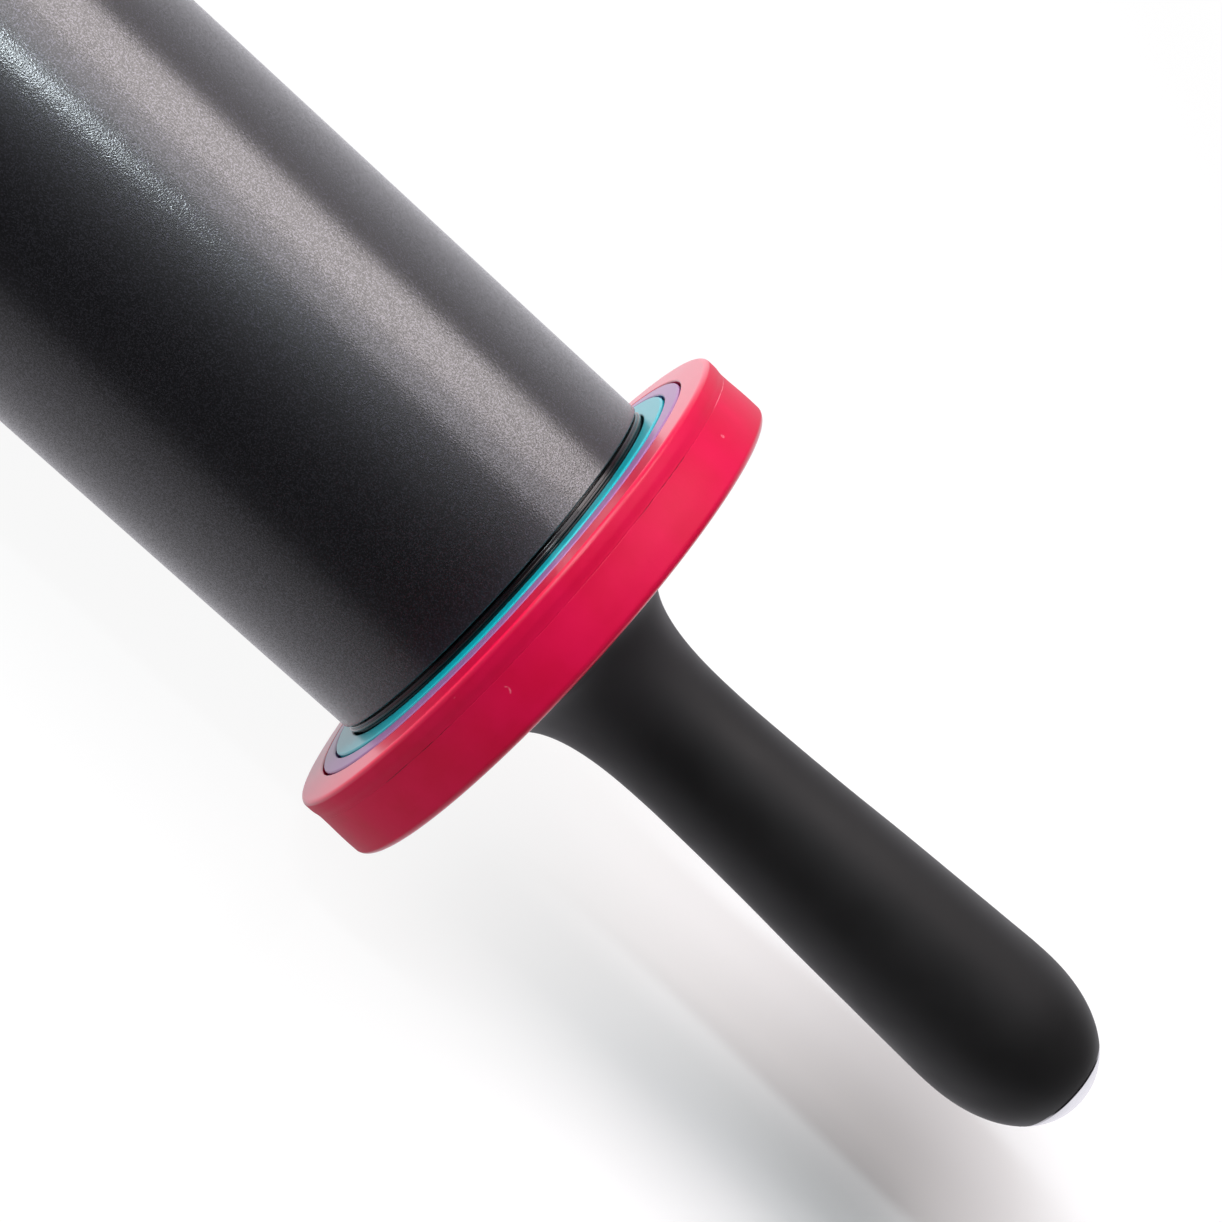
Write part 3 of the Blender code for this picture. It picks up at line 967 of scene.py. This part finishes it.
tread = {
    "lowRim": 1.4,
    "highRim": 2.2,
    "waist": 0.15,
    "parting": 4.8,
    "step": 0.012,
    "stepWidth": 0.12,
    "rows": 32,
    "stepRows": (2, 1, 0.4, 0, -0.4, -1, -2),  # in halves of the step's width
}


# The thick ring's tread, from its top rim to its face: drawn in between the rims, deepest
# where its mould parts, with the fine line that the mould's halves left.
def treadPoints(ring):
    low, high = ring["face"][1] + tread["lowRim"], ring["top"] - tread["highRim"]
    middle, width = tread["parting"], tread["stepWidth"]
    heights = [high - (high - low) * row / tread["rows"] for row in range(tread["rows"] + 1)]
    heights = [height for height in heights if abs(height - middle) > width]
    heights += [middle + width / 2 * row for row in tread["stepRows"]]
    points = []
    for height in sorted(heights, reverse=True):
        if height < middle:
            along = (height - low) / (middle - low)
        else:
            along = (high - height) / (high - middle)
        drawnIn = tread["waist"] * (1 - math.cos(math.pi * along)) / 2
        line = max(0.0, 1 - abs(height - middle) / (width / 2)) * tread["step"]
        points.append((ring["radius"] - drawnIn - line, height, 0))
    return points


def ringOutline(ring, hasTread):
    lipBase = ring["top"] - ringShape["lipThickness"]
    corners = [(ring["radius"], ring["top"], ring.get("topEdge", ring["edge"]))]
    if hasTread:
        corners += treadPoints(ring)
    corners += [
        (ring["radius"], ring["face"][1], ring["edge"]),
        (ring["bore"], ring["face"][0], ringShape["boreEdge"]),
        (ring["bore"], lipBase, ringShape["lipCorner"]),
        (ring["lip"], lipBase, ringShape["lipEdge"]),
        (ring["lip"], ring["top"], ringShape["lipTopEdge"]),
    ]
    return roundedOutline(corners, steps=8)


for name, ring in rings.items():
    hasTread = name == "ThickRing"
    ringMesh = turnedMesh(name, ringOutline(ring, hasTread), ringShape["turns"])
    ringFinish = ringPlastic(ring["color"], tread["parting"] if hasTread else None)
    for side, way in sides.items():
        node = f"{side}_{ring['node']}"
        addPiece(f"{side}{name}", ringMesh, ringFinish, node, [node], way)
print("rings made")

# Floor
floor = {
    "halfSize": 3.0,
    "below": 0.00002,  # clear of the rings that stand on it
    "color": 0.58,  # what it throws back on the pin
    "seenColor": 0.62,  # what the camera sees of it
    "glow": 0.50,
    "deepColor": 1.15,  # the shadow near the handle's tip is deeper
    "deepGlow": 0.02,
    "deepening": (0.13, 0.19),
    "deepWidth": (0.035, 0.075),
    "paintedShadowPlace": (0.222, 0.014),  # a painted shadow on the floor by the handle's tip, its darkest shade
    "paintedShadowReach": (0.0, 0.040),
    "paintedShadowColor": 0.72,
    "shadowReach": (0.27, 0.44),  # from the middle, where shadows begin to fade and where they end
    "barrelShadow": (0.13, 0.23, 0.85),  # along the pin: how far the shadow under the barrel is painted lighter with white
    "mirroredFrom": -0.12,  # the unlit front of the room begins here for what gloss shows
    "mirroredTo": 0.03,
    "mirroredStrength": (0.02, 1.0),
    "mirroredColor": (0.96, 0.94, 1.0),
}


def makeFloor():
    half = floor["halfSize"]
    mesh = bpy.data.meshes.new("paleFloor")
    corners = [(-half, -half, 0), (half, -half, 0), (half, half, 0), (-half, half, 0)]
    mesh.from_pydata(corners, [], [(0, 1, 2, 3)])
    material = bpy.data.materials.new("pale_floor")
    material.use_nodes = True
    tree = material.node_tree
    tree.nodes.clear()
    link = tree.links.new

    def new(kind, operation=None, **inputs):
        node = tree.nodes.new(kind)
        if operation:
            node.operation = operation
        for socket, value in inputs.items():
            node.inputs[socket.replace("_", " ")].default_value = value
        return node

    def spread(source, low, high, newLow, newHigh, kind="SMOOTHSTEP"):
        node = new("ShaderNodeMapRange", From_Min=low, From_Max=high, To_Min=newLow, To_Max=newHigh)
        node.interpolation_type = kind
        link(source, node.inputs["Value"])
        return node.outputs["Result"]

    def larger(first, second):
        node = new("ShaderNodeMath", "MAXIMUM")
        link(first, node.inputs[0])
        link(second, node.inputs[1])
        return node.outputs[0]

    def either(share, first, second):
        node = new("ShaderNodeMixShader")
        for socket, source in enumerate((share, first, second)):
            link(source, node.inputs[socket])
        return node.outputs[0]

    where = new("ShaderNodeTexCoord").outputs["Object"]
    parts = new("ShaderNodeSeparateXYZ")
    link(where, parts.inputs[0])
    out = new("ShaderNodeOutputMaterial")
    plain = new("ShaderNodeBsdfDiffuse", Color=(floor["color"],) * 3 + (1,))

    def shadowed(shade, strength):
        diffuse = new("ShaderNodeBsdfDiffuse", Color=(shade,) * 3 + (1,))
        glow = new("ShaderNodeEmission", Strength=strength)
        both = new("ShaderNodeAddShader")
        link(diffuse.outputs[0], both.inputs[0])
        link(glow.outputs[0], both.inputs[1])
        return both.outputs[0]

    # plain white again away from the pin, and the shadow under the barrel partly painted out with white
    white = new("ShaderNodeEmission", Strength=1.0)
    length = new("ShaderNodeVectorMath", "LENGTH")
    link(where, length.inputs[0])
    away = spread(length.outputs["Value"], *floor["shadowReach"], 0.0, 1.0)
    along = new("ShaderNodeMath", "ABSOLUTE")
    link(parts.outputs["X"], along.inputs[0])
    near, far, lightened = floor["barrelShadow"]
    under = spread(along.outputs[0], near, far, lightened, 0.0)
    # deeper under the handles
    across = new("ShaderNodeMath", "ABSOLUTE")
    link(parts.outputs["Y"], across.inputs[0])
    deep = new("ShaderNodeMath", "MULTIPLY")
    link(spread(along.outputs[0], *floor["deepening"], 0.0, 1.0), deep.inputs[0])
    link(spread(across.outputs[0], *floor["deepWidth"], 1.0, 0.0), deep.inputs[1])
    light = shadowed(floor["seenColor"], floor["glow"])
    seen = either(deep.outputs[0], light, shadowed(floor["deepColor"], floor["deepGlow"]))
    # a painted shadow, deepest by the right handle's tip
    toPaintedShadow = new("ShaderNodeVectorMath", "DISTANCE")
    link(where, toPaintedShadow.inputs[0])
    toPaintedShadow.inputs[1].default_value = (*floor["paintedShadowPlace"], 0)
    paintedShadow = spread(toPaintedShadow.outputs["Value"], *floor["paintedShadowReach"], 1.0, 0.0)
    seen = either(paintedShadow, seen, shadowed(floor["paintedShadowColor"], 0.0))
    seen = either(larger(away, under), seen, white.outputs[0])
    # gloss mirrors a floor that is unlit in front of the pin
    mirrored = new("ShaderNodeEmission")
    front, back = floor["mirroredFrom"], floor["mirroredTo"]
    room = spread(parts.outputs["Y"], front, back, *floor["mirroredStrength"], "LINEAR")
    link(room, mirrored.inputs["Strength"])
    mirrored.inputs["Color"].default_value = (*floor["mirroredColor"], 1)
    rays = new("ShaderNodeLightPath").outputs
    seen = either(rays["Is Camera Ray"], mirrored.outputs[0], seen)
    direct = larger(larger(rays["Is Camera Ray"], rays["Is Glossy Ray"]), rays["Is Transmission Ray"])
    link(either(direct, plain.outputs[0], seen), out.inputs["Surface"])
    mesh.materials.append(material)
    plane = bpy.data.objects.new("paleFloor", mesh)
    plane.location.z = -floor["below"]
    bpy.context.scene.collection.objects.link(plane)


makeFloor()

# Studio
studio = {
    "ambient": 0.30,
    "backdrop": 1.0,
    "roomFront": 0.015,  # the unlit side of the room, which the barrel mirrors
    "frontToBack": (0.55, 1.0),
}


def makeWorld():
    world = bpy.data.worlds.new("studio")
    bpy.context.scene.world = world
    world.use_nodes = True
    tree = world.node_tree
    tree.nodes.clear()
    new, link = tree.nodes.new, tree.links.new
    out = new("ShaderNodeOutputWorld")
    rays = new("ShaderNodeLightPath")
    where = new("ShaderNodeTexCoord")
    parts = new("ShaderNodeSeparateXYZ")
    link(where.outputs["Generated"], parts.inputs[0])
    room = new("ShaderNodeMapRange")
    room.interpolation_type = "SMOOTHSTEP"
    room.inputs["From Min"].default_value, room.inputs["From Max"].default_value = studio["frontToBack"]
    room.inputs["To Min"].default_value = studio["roomFront"]
    room.inputs["To Max"].default_value = studio["backdrop"]
    link(parts.outputs["Y"], room.inputs["Value"])
    ambient = new("ShaderNodeBackground")
    ambient.inputs["Strength"].default_value = studio["ambient"]
    mirrored = new("ShaderNodeBackground")
    mirrored.inputs["Color"].default_value = (*floor["mirroredColor"], 1)
    link(room.outputs["Result"], mirrored.inputs["Strength"])
    white = new("ShaderNodeBackground")
    white.inputs["Color"].default_value = (1, 1, 1, 1)
    white.inputs["Strength"].default_value = studio["backdrop"]
    glossy = new("ShaderNodeMixShader")
    link(rays.outputs["Is Glossy Ray"], glossy.inputs[0])
    link(ambient.outputs[0], glossy.inputs[1])
    link(mirrored.outputs[0], glossy.inputs[2])
    straight = new("ShaderNodeMath")
    straight.operation = "MAXIMUM"
    link(rays.outputs["Is Camera Ray"], straight.inputs[0])
    link(rays.outputs["Is Transmission Ray"], straight.inputs[1])
    mix = new("ShaderNodeMixShader")
    link(straight.outputs[0], mix.inputs[0])
    link(glossy.outputs[0], mix.inputs[1])
    link(white.outputs[0], mix.inputs[2])
    link(mix.outputs[0], out.inputs["Surface"])


makeWorld()

# Each lamp: its middle and what it faces in metres, its size, its radiance and its colour.
lamps = {
    "overheadSoftbox": {
        "from": (0.02, 0.145, 0.532),
        "to": (0.02, 0.0, 0.035),
        "size": (0.38, 0.26),
        "radiance": 5.0,
        "color": (1.0, 0.92, 0.925),
    },
    "frontSoftbox": {
        "from": (0.02, -0.052, 0.530),
        "to": (0.02, 0.0, 0.035),
        "size": (0.42, 0.120),
        "radiance": 2.45,
        "color": (1.0, 0.95, 1.0),
    },
    "sideSoftbox": {
        "from": (-0.50, -0.08, 0.46),
        "to": (0.10, 0.0, 0.035),
        "size": (0.50, 0.50),
        "radiance": 3.8,
        "color": (1.0, 1.0, 1.0),
    },
    "coolStrip": {
        "from": (-0.075, -0.183, 0.485),
        "to": (-0.075, 0.0, 0.035),
        "size": (0.19, 0.03),
        "radiance": 37.0,
        "color": (0.84, 0.95, 1.0),
    },
}


def addLamp(name, lamp):
    data = bpy.data.lights.new(name, "AREA")
    data.shape = "RECTANGLE"
    data.size, data.size_y = lamp["size"]
    data.energy = lamp["radiance"] * math.pi * data.size * data.size_y
    data.color = lamp["color"]
    light = bpy.data.objects.new(name, data)
    light.location = lamp["from"]
    toward = Vector(lamp["to"]) - Vector(lamp["from"])
    light.rotation_mode = "QUATERNION"
    light.rotation_quaternion = toward.to_track_quat("-Z", "Y")
    bpy.context.scene.collection.objects.link(light)


for name, lamp in lamps.items():
    addLamp(name, lamp)

# Camera
view = {
    "location": (0.084012, -0.281217, 0.258911),
    "rotation": (40.9125, -37.2162, 23.5014),
    "lens": 89.91,
    "sensor": 36,
    "clipStart": 0.01,
}
cameraData = bpy.data.cameras.new("camera")
cameraData.lens = view["lens"]
cameraData.sensor_width = view["sensor"]
cameraData.clip_start = view["clipStart"]
camera = bpy.data.objects.new("camera", cameraData)
camera.location = view["location"]
camera.rotation_euler = [math.radians(angle) for angle in view["rotation"]]
bpy.context.scene.collection.objects.link(camera)
bpy.context.scene.camera = camera
bpy.context.scene.view_settings.view_transform = "Standard"
print("floor, lamps and camera ready")
